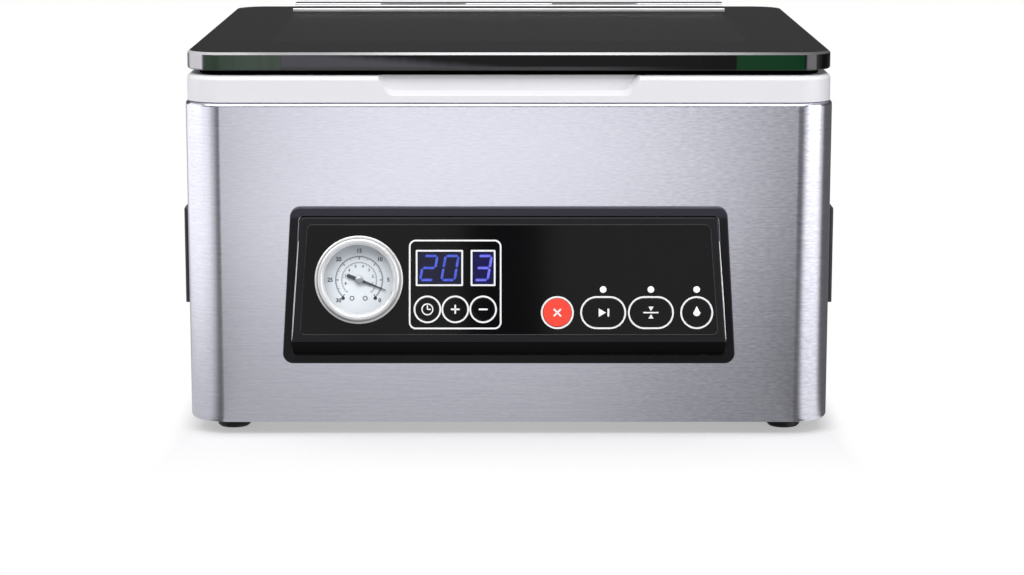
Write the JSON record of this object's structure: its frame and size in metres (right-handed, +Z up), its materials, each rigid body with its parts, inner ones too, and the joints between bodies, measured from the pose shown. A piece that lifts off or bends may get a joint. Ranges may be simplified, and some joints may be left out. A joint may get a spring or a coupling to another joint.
{
  "type": "chamber vacuum sealer",
  "caption": "Steel-sided chamber vacuum sealer with a hinged glass lid over a steel well, a lifting seal bar, a leaning control panel with dial gauge, and a piston pump inside.",
  "frame": {"origin": "on the table, under the middle of the whole part's box", "axes": "+X right seen from the front, +Y back, +Z up; the control panel faces -Y"},
  "size_m": [0.406, 0.3704, 0.2316],
  "materials": {
    "brushed_steel": "fine level brush lines",
    "black_sheet": "fine black powder coat",
    "zinc_sheet": "dull zinc plating",
    "black_rubber": "matt",
    "screw_steel": "bright plating",
    "white_plastic": "semi-gloss moulding",
    "satin_steel": "satin drawn steel",
    "black_plastic": "satin moulding",
    "hinge_metal": "anodised",
    "gloss_fascia": "high gloss overlay",
    "display_blue": "dark blue window with lit digits",
    "light_white": "clear light pipe",
    "circuit_board": "solder mask",
    "dial_white": "printed dial",
    "polished_ring": "polished",
    "clear_glass": "flat window",
    "silicone_hose": "milky silicone",
    "brass_fitting": "turned",
    "pump_paint": "black enamel",
    "cast_alloy": "as cast or extruded",
    "core_iron": "varnished laminations",
    "smoked_glass": "smoked, black printed border",
    "red_silicone": "silicone",
    "brown_tape": "coated glass cloth",
    "needle_black": "black paint",
    "grey_plastic": "moulded",
    "red_plastic": "gloss red cap"
  },
  "bodies": {
    "case": {"steel_wrapper": "brushed_steel", "rear_panel": "black_sheet", "base_pan": "zinc_sheet", "rubber_feet": "black_rubber", "foot_screws": "screw_steel", "top_deck": "white_plastic", "chamber_tub": "satin_steel", "side_grip_left": "black_plastic", "side_grip_right": "black_plastic", "case_screws": "screw_steel", "hinge_bracket": "hinge_metal", "hinge_pin": "screw_steel", "panel_frame": "black_plastic", "panel_housing": "black_plastic", "panel_fascia": "gloss_fascia", "display_two_digit": "display_blue", "display_one_digit": "display_blue", "indicator_lights": "light_white", "display_board": "circuit_board", "gauge_case": "zinc_sheet", "gauge_dial": "dial_white", "gauge_ring": "polished_ring", "gauge_lens": "clear_glass", "gauge_hose": "silicone_hose", "lift_cylinders": "black_plastic", "chamber_port": "brass_fitting", "vacuum_hoses": "silicone_hose", "pump_motor": "pump_paint", "pump_head_left": "cast_alloy", "pump_head_right": "cast_alloy", "pump_tray": "zinc_sheet", "pump_mounts": "black_rubber", "valve_manifold": "cast_alloy", "solenoid_valves": "black_plastic", "transformer": "core_iron", "power_board": "circuit_board", "power_inlet": "black_plastic", "switch_frame": "black_plastic"},
    "lid": {"lid_glass": "smoked_glass", "lid_gasket": "black_rubber", "hinge_rail": "hinge_metal", "rail_clamp": "satin_steel", "rail_screws": "screw_steel", "lid_pad_holder": "cast_alloy", "lid_seal_pad": "red_silicone"},
    "seal_bar_unit": {"seal_bar": "cast_alloy", "heating_strip": "satin_steel", "ptfe_tape": "brown_tape", "lift_posts": "satin_steel"},
    "rocker": {"power_rocker": "black_plastic"},
    "needle": {"gauge_needle": "needle_black"},
    "fan": {"pump_fan": "grey_plastic"},
    "key_set_cap": {"key_set": "gloss_fascia"},
    "key_plus_cap": {"key_plus": "gloss_fascia"},
    "key_minus_cap": {"key_minus": "gloss_fascia"},
    "key_cancel_cap": {"key_cancel": "red_plastic"},
    "key_auto_cap": {"key_auto": "gloss_fascia"},
    "key_seal_cap": {"key_seal": "gloss_fascia"},
    "key_marinate_cap": {"key_marinate": "gloss_fascia"}
  },
  "joints": [
    {"name": "lid_hinge", "type": "hinge", "parent": "case", "child": "lid", "pos_m": [0, 0.18019, 0.22215], "axis": [-1, 0, 0], "range_deg": [0, 75]},
    {"name": "seal_bar_lift", "type": "slide", "parent": "case", "child": "seal_bar_unit", "axis": [0, 0, 1], "range_m": [0, 0.006]},
    {"name": "power_switch", "type": "hinge", "parent": "case", "child": "rocker", "pos_m": [0.118, 0.1796, 0.096], "axis": [1, 0, 0], "range_deg": [0, 20]},
    {"name": "gauge_reading", "type": "hinge", "parent": "case", "child": "needle", "pos_m": [-0.0874, -0.17261, 0.0959], "axis": [0, -0.9789, 0.2045], "range_deg": [-24, 246], "stiffness_Nm_per_rad": 0.0004},
    {"name": "fan_spin", "type": "hinge", "parent": "case", "child": "fan", "pos_m": [0, 0.0759, 0.0558], "axis": [1, 0, 0], "continuous": true},
    {"name": "key_set_press", "type": "slide", "parent": "case", "child": "key_set_cap", "axis": [0, 0.9789, -0.2045], "range_m": [0, 0.0005], "stiffness_N_per_m": 2000},
    {"name": "key_plus_press", "type": "slide", "parent": "case", "child": "key_plus_cap", "axis": [0, 0.9789, -0.2045], "range_m": [0, 0.0005], "stiffness_N_per_m": 2000},
    {"name": "key_minus_press", "type": "slide", "parent": "case", "child": "key_minus_cap", "axis": [0, 0.9789, -0.2045], "range_m": [0, 0.0005], "stiffness_N_per_m": 2000},
    {"name": "key_cancel_press", "type": "slide", "parent": "case", "child": "key_cancel_cap", "axis": [0, 0.9789, -0.2045], "range_m": [0, 0.0005], "stiffness_N_per_m": 2000},
    {"name": "key_auto_press", "type": "slide", "parent": "case", "child": "key_auto_cap", "axis": [0, 0.9789, -0.2045], "range_m": [0, 0.0005], "stiffness_N_per_m": 2000},
    {"name": "key_seal_press", "type": "slide", "parent": "case", "child": "key_seal_cap", "axis": [0, 0.9789, -0.2045], "range_m": [0, 0.0005], "stiffness_N_per_m": 2000},
    {"name": "key_marinate_press", "type": "slide", "parent": "case", "child": "key_marinate_cap", "axis": [0, 0.9789, -0.2045], "range_m": [0, 0.0005], "stiffness_N_per_m": 2000}
  ]
}
